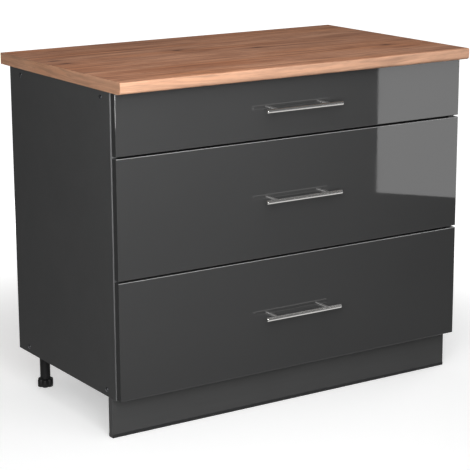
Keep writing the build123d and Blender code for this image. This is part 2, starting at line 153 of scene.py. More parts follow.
# shared effects, each one a node group
grainLook = {
    "drift": {"stretch": (0.9, 3.4, 3.4), "detail": 1.6},
    "bend": (0.2, 0.8, -0.026, 0.026),  # how far the drift carries the grain sideways, in metres
    "broad": {"stretch": (1.1, 13.0, 13.0), "detail": 4.0, "rough": 0.6}, "broadWeight": 0.62,
    "ringStretch": (0.07, 1.0, 1.0), "ringWeight": 0.14,
    "rings": {"Scale": 21.0, "Distortion": 5.0, "Detail": 2.0, "Detail Scale": 0.7, "Detail Roughness": 0.5},
    "fibre": {"stretch": (7.0, 330.0, 330.0), "detail": 3.0, "rough": 0.65}, "fibreWeight": 0.24,
    "middle": 0.50, "level": 0.52,
    "colors": [(0.26, (0.347, 0.149, 0.082)), (0.42, (0.575, 0.271, 0.158)),
               (0.56, (0.717, 0.360, 0.218)), (0.76, (0.845, 0.471, 0.304))],
    "ochre": {"stretch": (1.7, 9.0, 9.0), "offset": (3.0, 1.0, 0.0)}, "ochreFade": (0.48, 0.72, 0.0, 0.55),
    "ochreColor": (0.52, 0.300, 0.150),
    "pores": {"stretch": (30.0, 950.0, 950.0), "detail": 1.0}, "poreFade": (0.60, 0.70), "poreShare": 0.38,
    "poreColor": (0.11, 0.048, 0.030),
    "fibreRelief": 0.5,
}
wispLook = {
    "color": (0.270, 0.110, 0.060), "fade": (0.51, 0.66), "noise": {"detail": 3.0, "rough": 0.55},
    "layers": [  # stretch, offset and share of each layer of dark streaks
        ((0.9, 40.0, 40.0), (1.0, 4.0, 0.0), 0.45),
        ((2.6, 50.0, 50.0), (2.0, 7.0, 0.0), 0.60),
        ((6.0, 140.0, 140.0), (5.0, 3.0, 0.0), 0.46),
        ((7.0, 64.0, 64.0), (4.0, 6.0, 0.0), 0.52),
    ],
}
knotLook = {
    "stretch": (3.3, 8.5, 8.5), "offset": (0.35, 0.2, 0.0), "sway": 0.05,
    "picked": (0.50, 0.54),  # about half of the cells hold a knot
    "zones": [  # fade by distance, share and colour of the halo, then of the core
        ((0.04, 0.24, 1.0, 0.0), 0.42, (0.20, 0.088, 0.055)),
        ((0.025, 0.075, 1.0, 0.0), 0.80, (0.072, 0.032, 0.022)),
    ],
}


def addWisps(tree, bent, color):
    for stretch, offset, share in wispLook["layers"]:
        wisp = noise(tree, bent, stretch=stretch, offset=offset, **wispLook["noise"])
        color = mixColor(tree, remap(tree, wisp, *wispLook["fade"], 0.0, share), color, wispLook["color"])
    return color


def addKnots(tree, position, drift, amount, color):
    sway = join(tree, Y=calc(tree, "MULTIPLY", drift, knotLook["sway"]))
    at = scaled(tree, position, knotLook["stretch"], knotLook["offset"])
    at = put(tree, "VectorMath", {0: at, 1: sway}, operation="ADD").outputs[0]
    cell = cells(tree, at, 1.0, voronoi_dimensions="2D")
    picked = remap(tree, oneChannel(tree, cell["Color"]), *knotLook["picked"])
    strength = calc(tree, "MULTIPLY", picked, amount)
    for fade, share, shade in knotLook["zones"]:
        zone = calc(tree, "MULTIPLY", remap(tree, cell["Distance"], *fade), strength)
        color = mixColor(tree, calc(tree, "MULTIPLY", zone, share), color, shade)
    return color


def makeOakGrain():
    group, ins, outs = newGroup(
        "oakGrain",
        [("Vector", "Position", None), ("Float", "Contrast", 1.0), ("Float", "Knots", 1.0)],
        [("Color", "Color"), ("Float", "Height")])
    position = ins["Position"]
    drift = noise(group, position, **grainLook["drift"])
    x, y, z = split(group, position)
    across = calc(group, "ADD", y, remap(group, drift, *grainLook["bend"]))
    bent = join(group, X=x, Y=across, Z=z)
    broad = noise(group, bent, **grainLook["broad"])
    ringAt = scaled(group, bent, grainLook["ringStretch"])
    rings = put(group, "TexWave", {"Vector": ringAt, **grainLook["rings"]},
                bands_direction="Y", wave_profile="SAW").outputs["Fac"]
    fibre = noise(group, bent, **grainLook["fibre"])
    tone = weigh(group, (broad, grainLook["broadWeight"]), (rings, grainLook["ringWeight"]),
                 (fibre, grainLook["fibreWeight"]))
    swing = calc(group, "MULTIPLY", calc(group, "SUBTRACT", tone, grainLook["middle"]), ins["Contrast"])
    color = ramp(group, calc(group, "ADD", grainLook["level"], swing), grainLook["colors"])
    ochre = remap(group, noise(group, position, **grainLook["ochre"]), *grainLook["ochreFade"])
    color = mixColor(group, ochre, color, grainLook["ochreColor"], "SOFT_LIGHT")
    color = addWisps(group, bent, color)
    pores = remap(group, noise(group, bent, **grainLook["pores"]), *grainLook["poreFade"])
    shade = calc(group, "MULTIPLY", pores, grainLook["poreShare"])
    color = mixColor(group, shade, color, grainLook["poreColor"])
    feed(group, outs["Color"], addKnots(group, position, drift, ins["Knots"], color))
    relief = calc(group, "MULTIPLY", fibre, grainLook["fibreRelief"])
    feed(group, outs["Height"], calc(group, "SUBTRACT", relief, pores))
    return group


embossLook = {"grit": {"scale": 2400.0}, "gritShare": 0.5,
              "patches": {"scale": 7.0, "detail": 5.0, "rough": 0.65}}


def makeFineEmboss():
    group, ins, outs = newGroup("fineEmboss", [("Vector", "Position", None), ("Float", "Size", 900.0)],
                                [("Float", "Height"), ("Float", "Patches")])
    pearls = cells(group, ins["Position"], ins["Size"], feature="SMOOTH_F1")["Distance"]
    grit = noise(group, ins["Position"], **embossLook["grit"])
    relief = calc(group, "ADD", pearls, calc(group, "MULTIPLY", grit, embossLook["gritShare"]))
    feed(group, outs["Height"], relief)
    feed(group, outs["Patches"], noise(group, ins["Position"], **embossLook["patches"]))
    return group


# "turn" is the cosine between the flat face and its rounded edge where the lighter edge colour starts and
# where it is full; it marks wear, and on the carcass boards and gloss fronts a painted edge highlight
edgeWearAndHighlightLook = {"turn": (0.985, 0.86), "rub": {"scale": 38.0, "detail": 4.0, "rough": 0.7},
            "rubFade": (0.30, 0.62, 0.35, 1.0), "bevelSamples": 4}


def makeEdgeWearAndHighlight():
    # a mask of the sharp edges: wear, and on the carcass boards a painted edge highlight
    group, ins, outs = newGroup("edgeWearAndHighlight", [("Vector", "Position", None), ("Float", "Width", 0.0015)],
                                [("Float", "Mask")])
    bevel = put(group, "Bevel", {"Radius": ins["Width"]}, samples=edgeWearAndHighlightLook["bevelSamples"]).outputs[0]
    flat = put(group, "NewGeometry").outputs["Normal"]
    turn = put(group, "VectorMath", {0: bevel, 1: flat}, operation="DOT_PRODUCT").outputs["Value"]
    rub = remap(group, noise(group, ins["Position"], **edgeWearAndHighlightLook["rub"]), *edgeWearAndHighlightLook["rubFade"])
    feed(group, outs["Mask"], calc(group, "MULTIPLY", remap(group, turn, *edgeWearAndHighlightLook["turn"]), rub))
    return group


def makeRoundedEdge():
    # for edges that are rounded in the solid itself; the carcass boards and the gloss fronts paint a
    # highlight there
    group, ins, outs = newGroup("roundedEdge", [("Vector", "Normal", None)], [("Float", "Mask")])
    turned = put(group, "VectorMath", {0: ins["Normal"]}, operation="ABSOLUTE").outputs[0]
    x, y, z = split(group, turned)
    most = calc(group, "MAXIMUM", x, calc(group, "MAXIMUM", y, z))
    feed(group, outs["Mask"], remap(group, most, *edgeWearAndHighlightLook["turn"]))
    return group


chipLook = {"flatten": (1.0, 1.0, 2.6), "flakes": 420.0, "flakeWeight": 0.7,
            "fleck": {"scale": 900.0, "detail": 3.0, "rough": 0.6}, "fleckWeight": 0.4,
            "colors": [(0.15, (0.16, 0.095, 0.050)), (0.45, (0.36, 0.235, 0.130)),
                       (0.75, (0.52, 0.370, 0.225)), (0.95, (0.62, 0.480, 0.320))]}


def makeRawChip():
    group, ins, outs = newGroup("rawChip", [("Vector", "Position", None)],
                                [("Color", "Color"), ("Float", "Height")])
    flattened = scaled(group, ins["Position"], chipLook["flatten"])
    flake = oneChannel(group, cells(group, flattened, chipLook["flakes"])["Color"])
    fleck = noise(group, ins["Position"], **chipLook["fleck"])
    blend = weigh(group, (flake, chipLook["flakeWeight"]), (fleck, chipLook["fleckWeight"]))
    feed(group, outs["Color"], ramp(group, blend, chipLook["colors"]))
    feed(group, outs["Height"], calc(group, "ADD", flake, fleck))
    return group


handlingLook = {"haze": {"scale": 9.0, "detail": 5.0, "rough": 0.62, "twist": 0.4}, "hazeWeight": 0.75,
                "fine": {"scale": 130.0, "detail": 3.0, "rough": 0.6}, "fineWeight": 0.25,
                "fade": (0.35, 0.65)}


def makeHandling():
    group, ins, outs = newGroup(
        "handling", [("Vector", "Position", None), ("Float", "Low", 0.05), ("Float", "High", 0.12)],
        [("Float", "Roughness")])
    haze = noise(group, ins["Position"], **handlingLook["haze"])
    fine = noise(group, ins["Position"], **handlingLook["fine"])
    wipe = weigh(group, (haze, handlingLook["hazeWeight"]), (fine, handlingLook["fineWeight"]))
    feed(group, outs["Roughness"], remap(group, wipe, *handlingLook["fade"], ins["Low"], ins["High"]))
    return group


brushLook = {"lines": {"stretch": (14.0, 2600.0, 2600.0), "detail": 3.0, "rough": 0.6}, "fade": (0.3, 0.7),
             "tint": {"stretch": (6.0, 60.0, 60.0), "detail": 3.0}}


def makeBrushed():
    group, ins, outs = newGroup(
        "brushed", [("Vector", "Position", None), ("Float", "Low", 0.18), ("Float", "High", 0.38)],
        [("Float", "Roughness"), ("Float", "Height"), ("Float", "Tint")])
    lines = noise(group, ins["Position"], **brushLook["lines"])
    feed(group, outs["Roughness"], remap(group, lines, *brushLook["fade"], ins["Low"], ins["High"]))
    feed(group, outs["Height"], lines)
    feed(group, outs["Tint"], noise(group, ins["Position"], **brushLook["tint"]))
    return group


oakGrain = makeOakGrain()
fineEmboss = makeFineEmboss()
edgeWearAndHighlight = makeEdgeWearAndHighlight()
roundedEdge = makeRoundedEdge()
rawChip = makeRawChip()
handling = makeHandling()
brushed = makeBrushed()
print("shared effects ready")


# what several materials do
def newFinish(name, **constants):
    mat = bpy.data.materials.new(name)
    mat.use_nodes = True
    tree = mat.node_tree
    shader = tree.nodes["Principled BSDF"].inputs
    for label, value in constants.items():
        feed(tree, shader[label.replace("_", " ")], value)
    return mat, tree, shader, put(tree, "TexCoord").outputs


def facing(tree, normal, way, limit=0.9):
    # mask of the faces that look along an axis, such as "+Y" or "-Z"
    value = split(tree, normal)[way[1]]
    if way[0] == "-":
        return calc(tree, "LESS_THAN", value, -limit)
    return calc(tree, "GREATER_THAN", value, limit)


def bump(tree, shader, height, depth, strength=1.0):
    node = put(tree, "Bump", {"Height": height, "Strength": strength, "Distance": depth})
    feed(tree, shader["Normal"], node.outputs[0])


def wiped(tree, position, gloss):
    low, high = gloss
    return place(tree, handling, {"Position": position, "Low": low, "High": high})["Roughness"]


def edgeWearAndHighlightMask(tree, position, width):
    return place(tree, edgeWearAndHighlight, {"Position": position, "Width": width})["Mask"]


def bareRear(tree, coords, color):
    # chipboard on the rear edge of a board, which has no band; gives the colour and the edge's mask
    rear = facing(tree, coords["Normal"], "+Y")
    chip = place(tree, rawChip, {"Position": coords["Object"]})
    return mixColor(tree, rear, color, chip["Color"]), rear


# one look and one function for each material
oakLook = {"contrast": 1.0, "knots": 1.0, "specular": 0.12, "satin": (0.50, 0.64), "grainDepth": 0.00012,
           "nose": (0.66, 0.463, 0.331), "noseHighlightFade": (-0.25, -0.85, 0.0, 0.35),  # the rounded front edge, painted lighter in colour as a highlight
           "paperFibres": {"stretch": (160.0, 420.0, 1.0), "detail": 4.0, "rough": 0.7},
           "paper": [(0.3, (0.16, 0.105, 0.066)), (0.7, (0.27, 0.185, 0.122))], "bareRough": 0.85}


def makeWorktopOak():
    mat, tree, shader, coords = newFinish("worktopOak", Specular_IOR_Level=oakLook["specular"])
    position, normal = coords["Object"], coords["Normal"]
    x, y, z = split(tree, position)
    unrolled = join(tree, X=x, Y=calc(tree, "ADD", y, z))  # the grain runs on over the front edge
    grain = place(tree, oakGrain, {"Position": unrolled, "Contrast": oakLook["contrast"],
                                   "Knots": oakLook["knots"]})
    chip = place(tree, rawChip, {"Position": position})
    paper = ramp(tree, noise(tree, position, **oakLook["paperFibres"]), oakLook["paper"])
    rear = facing(tree, normal, "+Y")
    under = facing(tree, normal, "-Z")
    # painted highlight: faces that look forward are mixed towards the paler nose colour
    nose = remap(tree, split(tree, normal)["Y"], *oakLook["noseHighlightFade"])
    grainAndHighlight = mixColor(tree, nose, grain["Color"], oakLook["nose"])
    edged = mixColor(tree, rear, grainAndHighlight, chip["Color"])
    feed(tree, shader["Base Color"], mixColor(tree, under, edged, paper))
    bare = calc(tree, "MAXIMUM", rear, under)
    satin = wiped(tree, position, oakLook["satin"])
    feed(tree, shader["Roughness"], mixValue(tree, bare, satin, oakLook["bareRough"]))
    bump(tree, shader, mixValue(tree, rear, grain["Height"], chip["Height"]), oakLook["grainDepth"])
    return mat


bandLook = {"along": 2.2, "across": 1.6, "contrast": 0.8, "color": (0.575, 0.348, 0.225), "colorShare": 0.5,
            "specular": 0.12, "satin": (0.40, 0.52), "grainDepth": 0.00012}


def makeBandOak():
    mat, tree, shader, coords = newFinish("bandOak", Specular_IOR_Level=bandLook["specular"])
    x, y, z = split(tree, coords["Object"])
    along = calc(tree, "MULTIPLY", y, bandLook["along"])
    across = calc(tree, "MULTIPLY", z, bandLook["across"])
    grain = place(tree, oakGrain, {"Position": join(tree, X=along, Y=across, Z=x),
                                   "Contrast": bandLook["contrast"], "Knots": 0.0})
    color = mixColor(tree, bandLook["colorShare"], grain["Color"], bandLook["color"])
    feed(tree, shader["Base Color"], color)
    feed(tree, shader["Roughness"], wiped(tree, coords["Object"], bandLook["satin"]))
    bump(tree, shader, grain["Height"], bandLook["grainDepth"])
    return mat


# painted highlight: band makes the forward faces, the front edge bands, pale, and edge makes the rounded and
# sharp edges lighter, partly as wear
boardLook = {"color": (0.0560, 0.0562, 0.0566), "lift": (0.0680, 0.0682, 0.0686),
             "edge": (0.11, 0.111, 0.113), "band": (0.14, 0.1415, 0.144), "bandFacing": 0.6,
             "wear": 0.0012, "specular": 0.16, "gloss": (0.36, 0.46), "bareRough": 0.9,
             "embossSize": 850.0, "embossDepth": 0.00005}


def makeAnthraciteBoard():
    mat, tree, shader, coords = newFinish("anthraciteBoard", Specular_IOR_Level=boardLook["specular"])
    position, normal = coords["Object"], coords["Normal"]
    emboss = place(tree, fineEmboss, {"Position": position, "Size": boardLook["embossSize"]})
    color = mixColor(tree, emboss["Patches"], boardLook["color"], boardLook["lift"])
    wornAndSheen = edgeWearAndHighlightMask(tree, position, boardLook["wear"])
    rounded = place(tree, roundedEdge, {"Normal": normal})["Mask"]
    # painted highlight along the rounded and sharp edges, partly wear
    color = mixColor(tree, calc(tree, "MAXIMUM", wornAndSheen, rounded), color, boardLook["edge"])
    # painted highlight: the forward faces, the front edge bands, are paler
    front = facing(tree, normal, "-Y", boardLook["bandFacing"])
    color, rear = bareRear(tree, coords, mixColor(tree, front, color, boardLook["band"]))
    feed(tree, shader["Base Color"], color)
    sheen = wiped(tree, position, boardLook["gloss"])
    feed(tree, shader["Roughness"], mixValue(tree, rear, sheen, boardLook["bareRough"]))
    bump(tree, shader, emboss["Height"], boardLook["embossDepth"])
    return mat


plinthLook = {"color": (0.060, 0.0602, 0.0605), "lift": (0.071, 0.0712, 0.0715),
              "edge": (0.11, 0.111, 0.113), "drawn": {"stretch": (5.0, 90.0, 90.0), "detail": 3.0},
              "wear": 0.0012, "specular": 0.35, "gloss": (0.30, 0.42), "bareRough": 0.9,
              "embossSize": 700.0, "embossDepth": 0.00003}


def makePlinthFoil():
    mat, tree, shader, coords = newFinish("plinthFoil", Specular_IOR_Level=plinthLook["specular"])
    position = coords["Object"]
    emboss = place(tree, fineEmboss, {"Position": position, "Size": plinthLook["embossSize"]})
    drawn = noise(tree, position, **plinthLook["drawn"])
    color = mixColor(tree, drawn, plinthLook["color"], plinthLook["lift"])
    color = mixColor(tree, edgeWearAndHighlightMask(tree, position, plinthLook["wear"]), color, plinthLook["edge"])
    color, rear = bareRear(tree, coords, color)
    feed(tree, shader["Base Color"], color)
    sheen = wiped(tree, position, plinthLook["gloss"])
    feed(tree, shader["Roughness"], mixValue(tree, rear, sheen, plinthLook["bareRough"]))
    bump(tree, shader, emboss["Height"], plinthLook["embossDepth"])
    return mat


glossLook = {"color": (0.0520, 0.0522, 0.0525), "deep": (0.0480, 0.0482, 0.0485),
             "cloud": {"scale": 5.0, "detail": 4.0, "rough": 0.6},
             "flake": {"scale": 5200.0, "detail": 1.0}, "flakeFade": (0.66, 0.78, 0.0, 0.25),
             "flakeColor": (0.05, 0.051, 0.054),
             "flank": (0.026, 0.0262, 0.0266), "flankShadeFacing": 0.9,  # painted shade: the left and right edge faces are darker
             "edge": (0.42, 0.422, 0.427), "highlightUpward": (0.10, 0.35),  # painted highlight: the upper rounded edge is lighter in colour
             "back": (0.045, 0.046, 0.049), "backRough": 0.5, "clear": (0.020, 0.045), "ior": 1.5,
             "peel": {"scale": 210.0, "rough": 0.4}, "peelDepth": 0.000012, "peelStrength": 0.5}


def makeGlossAnthracite():
    mat, tree, shader, coords = newFinish("glossAnthracite", IOR=glossLook["ior"])
    position, normal = coords["Object"], coords["Normal"]
    cloud = noise(tree, position, **glossLook["cloud"])
    color = mixColor(tree, cloud, glossLook["color"], glossLook["deep"])
    flake = remap(tree, noise(tree, position, **glossLook["flake"]), *glossLook["flakeFade"])
    color = mixColor(tree, flake, color, glossLook["flakeColor"])
    turned = split(tree, normal)
    # painted shade: faces that look sideways take the darker flank colour
    flank = calc(tree, "GREATER_THAN", calc(tree, "ABSOLUTE", turned["X"]), glossLook["flankShadeFacing"])
    color = mixColor(tree, flank, color, glossLook["flank"])
    rounded = place(tree, roundedEdge, {"Normal": normal})["Mask"]
    # painted highlight: rounded edges that face up take the light edge colour
    paintedEdgeHighlight = calc(tree, "MULTIPLY", rounded, remap(tree, turned["Z"], *glossLook["highlightUpward"]))
    color = mixColor(tree, paintedEdgeHighlight, color, glossLook["edge"])
    back = facing(tree, normal, "+Y")
    feed(tree, shader["Base Color"], mixColor(tree, back, color, glossLook["back"]))
    clear = wiped(tree, position, glossLook["clear"])
    feed(tree, shader["Roughness"], mixValue(tree, back, clear, glossLook["backRough"]))
    peel = noise(tree, position, **glossLook["peel"])
    bump(tree, shader, peel, glossLook["peelDepth"], glossLook["peelStrength"])
    return mat


hardboardLook = {"fibres": {"stretch": (240.0, 1.0, 300.0), "detail": 5.0, "rough": 0.75, "twist": 1.2},
                 "fibreWeight": 0.7, "cloud": {"scale": 6.0, "detail": 4.0}, "cloudWeight": 0.3,
                 "brown": [(0.32, (0.135, 0.078, 0.043)), (0.52, (0.225, 0.140, 0.082)),
                           (0.72, (0.310, 0.205, 0.128))],
                 "coat": (0.046, 0.047, 0.050), "coatLift": (0.058, 0.059, 0.063), "coatRough": 0.5,
                 "coatEmboss": 700.0, "rough": (0.3, 0.7, 0.62, 0.86), "fibreDepth": 0.00012}


def makeHardboard():
    mat, tree, shader, coords = newFinish("hardboard")
    position = coords["Object"]
    fibres = noise(tree, position, **hardboardLook["fibres"])
    cloud = noise(tree, position, **hardboardLook["cloud"])
    blend = weigh(tree, (fibres, hardboardLook["fibreWeight"]), (cloud, hardboardLook["cloudWeight"]))
    brown = ramp(tree, blend, hardboardLook["brown"])
    emboss = place(tree, fineEmboss, {"Position": position, "Size": hardboardLook["coatEmboss"]})
    coat = mixColor(tree, emboss["Patches"], hardboardLook["coat"], hardboardLook["coatLift"])
    inside = facing(tree, coords["Normal"], "-Y")
    feed(tree, shader["Base Color"], mixColor(tree, inside, brown, coat))
    rough = remap(tree, fibres, *hardboardLook["rough"])
    feed(tree, shader["Roughness"], mixValue(tree, inside, rough, hardboardLook["coatRough"]))
    bump(tree, shader, fibres, hardboardLook["fibreDepth"])
    return mat


drawerLook = {"warp": {"stretch": (40.0, 900.0, 900.0)}, "weft": {"stretch": (900.0, 40.0, 900.0)},
              "grey": [(0.14, (0.40, 0.405, 0.41)), (0.26, (0.52, 0.525, 0.53)), (0.4, (0.60, 0.605, 0.61))],
              "wear": 0.0010, "wearShare": 0.5, "wearColor": (0.70, 0.70, 0.70), "gloss": (0.42, 0.55),
              "threadDepth": 0.00006}


def makeDrawerBoard():
    mat, tree, shader, coords = newFinish("drawerBoard")
    position = coords["Object"]
    threads = calc(tree, "MULTIPLY", noise(tree, position, **drawerLook["warp"]),
                   noise(tree, position, **drawerLook["weft"]))
    wornAndSheen = calc(tree, "MULTIPLY", edgeWearAndHighlightMask(tree, position, drawerLook["wear"]), drawerLook["wearShare"])
    color = mixColor(tree, wornAndSheen, ramp(tree, threads, drawerLook["grey"]), drawerLook["wearColor"])
    feed(tree, shader["Base Color"], bareRear(tree, coords, color)[0])
    feed(tree, shader["Roughness"], wiped(tree, position, drawerLook["gloss"]))
    bump(tree, shader, threads, drawerLook["threadDepth"])
    return mat


barLook = {"name": "barSteel", "dark": (0.64, 0.63, 0.615), "light": (0.72, 0.71, 0.695),
           "edge": (0.90, 0.89, 0.87), "gloss": (0.12, 0.22), "wear": 0.0006, "lineDepth": 0.000008}
postLook = {"name": "postSteel", "dark": (0.62, 0.61, 0.60), "light": (0.70, 0.69, 0.68),
            "edge": (0.86, 0.85, 0.84), "gloss": (0.26, 0.36), "wear": 0.0006, "lineDepth": 0.000008}


def makeBrushedSteel(look):
    mat, tree, shader, coords = newFinish(look["name"], Metallic=1.0)
    low, high = look["gloss"]
    lines = place(tree, brushed, {"Position": coords["Object"], "Low": low, "High": high})
    color = mixColor(tree, lines["Tint"], look["dark"], look["light"])
    wornAndSheen = edgeWearAndHighlightMask(tree, coords["Object"], look["wear"])
    feed(tree, shader["Base Color"], mixColor(tree, wornAndSheen, color, look["edge"]))
    feed(tree, shader["Roughness"], lines["Roughness"])
    bump(tree, shader, lines["Height"], look["lineDepth"])
    return mat


zincLook = {"spangle": 260.0, "wear": 0.0006, "wearColor": (0.76, 0.76, 0.76),
            "silver": [(0.0, (0.50, 0.515, 0.54)), (0.6, (0.60, 0.61, 0.625)), (1.0, (0.68, 0.675, 0.64))],
            "rough": (0.0, 1.0, 0.30, 0.44), "grit": {"scale": 900.0, "detail": 3.0}, "gritDepth": 0.00001}


def makeZincSteel():
    mat, tree, shader, coords = newFinish("zincSteel", Metallic=1.0)
    position = coords["Object"]
    spangle = oneChannel(tree, cells(tree, position, zincLook["spangle"])["Color"])
    wornAndSheen = edgeWearAndHighlightMask(tree, position, zincLook["wear"])
    color = mixColor(tree, wornAndSheen, ramp(tree, spangle, zincLook["silver"]), zincLook["wearColor"])
    feed(tree, shader["Base Color"], color)
    feed(tree, shader["Roughness"], remap(tree, spangle, *zincLook["rough"]))
    bump(tree, shader, noise(tree, position, **zincLook["grit"]), zincLook["gritDepth"])
    return mat


blackZincLook = {"grit": {"scale": 700.0, "detail": 3.0}, "color": (0.045, 0.047, 0.052),
                 "lift": (0.085, 0.087, 0.092), "wear": 0.0005, "wearColor": (0.30, 0.30, 0.31),
                 "rough": (0.3, 0.7, 0.20, 0.34)}


def makeBlackZinc():
    mat, tree, shader, coords = newFinish("blackZinc", Metallic=1.0)
    grit = noise(tree, coords["Object"], **blackZincLook["grit"])
    color = mixColor(tree, grit, blackZincLook["color"], blackZincLook["lift"])
    wornAndSheen = edgeWearAndHighlightMask(tree, coords["Object"], blackZincLook["wear"])
    feed(tree, shader["Base Color"], mixColor(tree, wornAndSheen, color, blackZincLook["wearColor"]))
    feed(tree, shader["Roughness"], remap(tree, grit, *blackZincLook["rough"]))
    return mat


enamelLook = {"cloud": {"scale": 12.0, "detail": 4.0}, "color": (0.47, 0.48, 0.49),
              "lift": (0.55, 0.56, 0.57), "wear": 0.0007, "wearShare": 0.6, "wearColor": (0.68, 0.69, 0.70),
              "gloss": (0.30, 0.42), "coat": 0.25, "coatRough": 0.2,
              "peel": {"scale": 480.0, "rough": 0.4}, "peelDepth": 0.00004}


def makeGreyEnamel():
    mat, tree, shader, coords = newFinish("greyEnamel", Coat_Weight=enamelLook["coat"],
                                          Coat_Roughness=enamelLook["coatRough"])
    position = coords["Object"]
    cloud = noise(tree, position, **enamelLook["cloud"])
    color = mixColor(tree, cloud, enamelLook["color"], enamelLook["lift"])
    wornAndSheen = calc(tree, "MULTIPLY", edgeWearAndHighlightMask(tree, position, enamelLook["wear"]), enamelLook["wearShare"])
    feed(tree, shader["Base Color"], mixColor(tree, wornAndSheen, color, enamelLook["wearColor"]))
    feed(tree, shader["Roughness"], wiped(tree, position, enamelLook["gloss"]))
    bump(tree, shader, noise(tree, position, **enamelLook["peel"]), enamelLook["peelDepth"])
    return mat


nylonLook = {"cloud": {"scale": 90.0, "detail": 4.0}, "color": (0.74, 0.735, 0.70),
             "lift": (0.83, 0.825, 0.80), "track": {"stretch": (1500.0, 40.0, 40.0)},
             "trackFade": (0.55, 0.75, 0.0, 0.35), "trackColor": (0.50, 0.49, 0.46),
             "rough": (0.3, 0.7, 0.36, 0.52), "grit": {"scale": 1400.0}, "gritDepth": 0.00002}


def makeWhiteNylon():
    mat, tree, shader, coords = newFinish("whiteNylon")
    position = coords["Object"]
    cloud = noise(tree, position, **nylonLook["cloud"])
    color = mixColor(tree, cloud, nylonLook["color"], nylonLook["lift"])
    track = remap(tree, noise(tree, position, **nylonLook["track"]), *nylonLook["trackFade"])
    feed(tree, shader["Base Color"], mixColor(tree, track, color, nylonLook["trackColor"]))
    feed(tree, shader["Roughness"], remap(tree, cloud, *nylonLook["rough"]))
    bump(tree, shader, noise(tree, position, **nylonLook["grit"]), nylonLook["gritDepth"])
    return mat


plasticLook = {"color": (0.008, 0.008, 0.0085), "lift": (0.0125, 0.0125, 0.013), "specular": 0.24,
               "wear": 0.0010, "wearColor": (0.040, 0.040, 0.041), "rough": (0.3, 0.7, 0.42, 0.56),
               "embossSize": 1500.0, "embossDepth": 0.00005}


def makeBlackPlastic():
    mat, tree, shader, coords = newFinish("blackPlastic", Specular_IOR_Level=plasticLook["specular"])
    position = coords["Object"]
    emboss = place(tree, fineEmboss, {"Position": position, "Size": plasticLook["embossSize"]})
    color = mixColor(tree, emboss["Patches"], plasticLook["color"], plasticLook["lift"])
    wornAndSheen = edgeWearAndHighlightMask(tree, position, plasticLook["wear"])
    feed(tree, shader["Base Color"], mixColor(tree, wornAndSheen, color, plasticLook["wearColor"]))
    feed(tree, shader["Roughness"], remap(tree, emboss["Patches"], *plasticLook["rough"]))
    bump(tree, shader, emboss["Height"], plasticLook["embossDepth"])
    return mat


sealLook = {"drawn": {"stretch": (8.0, 1500.0, 1500.0)}, "color": (0.012, 0.012, 0.0125),
            "lift": (0.022, 0.022, 0.023), "rough": (0.3, 0.7, 0.30, 0.45), "lineDepth": 0.00003}


def makeSealStrip():
    mat, tree, shader, coords = newFinish("sealStrip")
    drawn = noise(tree, coords["Object"], **sealLook["drawn"])
    feed(tree, shader["Base Color"], mixColor(tree, drawn, sealLook["color"], sealLook["lift"]))
    feed(tree, shader["Roughness"], remap(tree, drawn, *sealLook["rough"]))
    bump(tree, shader, drawn, sealLook["lineDepth"])
    return mat


gelLook = {"cloud": {"scale": 220.0, "detail": 3.0}, "color": (0.80, 0.80, 0.78), "lift": (0.90, 0.90, 0.88),
           "rough": (0.3, 0.7, 0.16, 0.30), "clear": 0.7, "ior": 1.45, "cloudDepth": 0.00004}


def makeBumperGel():
    mat, tree, shader, coords = newFinish("bumperGel", Transmission_Weight=gelLook["clear"],
                                          IOR=gelLook["ior"])
    cloud = noise(tree, coords["Object"], **gelLook["cloud"])
    feed(tree, shader["Base Color"], mixColor(tree, cloud, gelLook["color"], gelLook["lift"]))
    feed(tree, shader["Roughness"], remap(tree, cloud, *gelLook["rough"]))
    bump(tree, shader, cloud, gelLook["cloudDepth"])
    return mat


finishes = {
    "oak_laminate": makeWorktopOak(),
    "anthracite_board": makeAnthraciteBoard(),
    "gloss_anthracite": makeGlossAnthracite(),
    "hardboard": makeHardboard(),
    "drawer_board": makeDrawerBoard(),
    "brushed_steel": makeBrushedSteel(barLook),
    "zinc_steel": makeZincSteel(),
    "black_zinc": makeBlackZinc(),
    "grey_enamel": makeGreyEnamel(),
    "white_nylon": makeWhiteNylon(),
    "black_plastic": makeBlackPlastic(),
    "seal_strip": makeSealStrip(),
    "bumper_gel": makeBumperGel(),
}
# nodes whose finish differs a little from the rest of their slot
ownFinishes = {"worktop_end_bands": makeBandOak(), "plinth_board": makePlinthFoil()}
postSteel = makeBrushedSteel(postLook)
for level in levels:
    ownFinishes[f"{level}_handle_posts"] = postSteel
for part in frame["record"]["subparts"]:
    mesh = nodes[part["node"]].data
    mesh.materials.clear()
    mesh.materials.append(ownFinishes.get(part["node"], finishes[part["material_slot"]]))


# mesh helpers for the turned and moulded pieces that replace plain solids
weldGap = 1e-6  # points closer than this are one point


def looseBoxes(node):
    # the box of each separate solid in a node
    bm = bmesh.new()
    bm.from_mesh(nodes[node].data)
    bmesh.ops.remove_doubles(bm, verts=bm.verts, dist=weldGap)
    left, boxes = set(bm.verts), []
    while left:
        queue, points = [left.pop()], []
        while queue:
            vert = queue.pop()
            points.append(vert.co.copy())
            for link in vert.link_edges:
                other = link.other_vert(vert)
                if other in left:
                    left.remove(other)
                    queue.append(other)
        low = Vector(min(point[i] for point in points) for i in range(3))
        high = Vector(max(point[i] for point in points) for i in range(3))
        boxes.append((low, high))
    bm.free()
    return sorted(boxes, key=lambda box: tuple(round(value, 5) for value in box[0]))


def addLoop(bm, turn, points, depth):
    return [bm.verts.new(turn @ Vector((x, y, depth))) for x, y in points]


def circlePoints(radius, sides):
    angles = [2 * math.pi * i / sides for i in range(sides)]
    return [(radius * math.cos(angle), radius * math.sin(angle)) for angle in angles]


def crossPoints(reach, half):
    arm = [(reach, -half), (reach, half), (half, half)]
    points = []
    for c, s in ((1, 0), (0, 1), (-1, 0), (0, -1)):  # four quarter turns
        points += [(x * c - y * s, x * s + y * c) for x, y in arm]
    return points


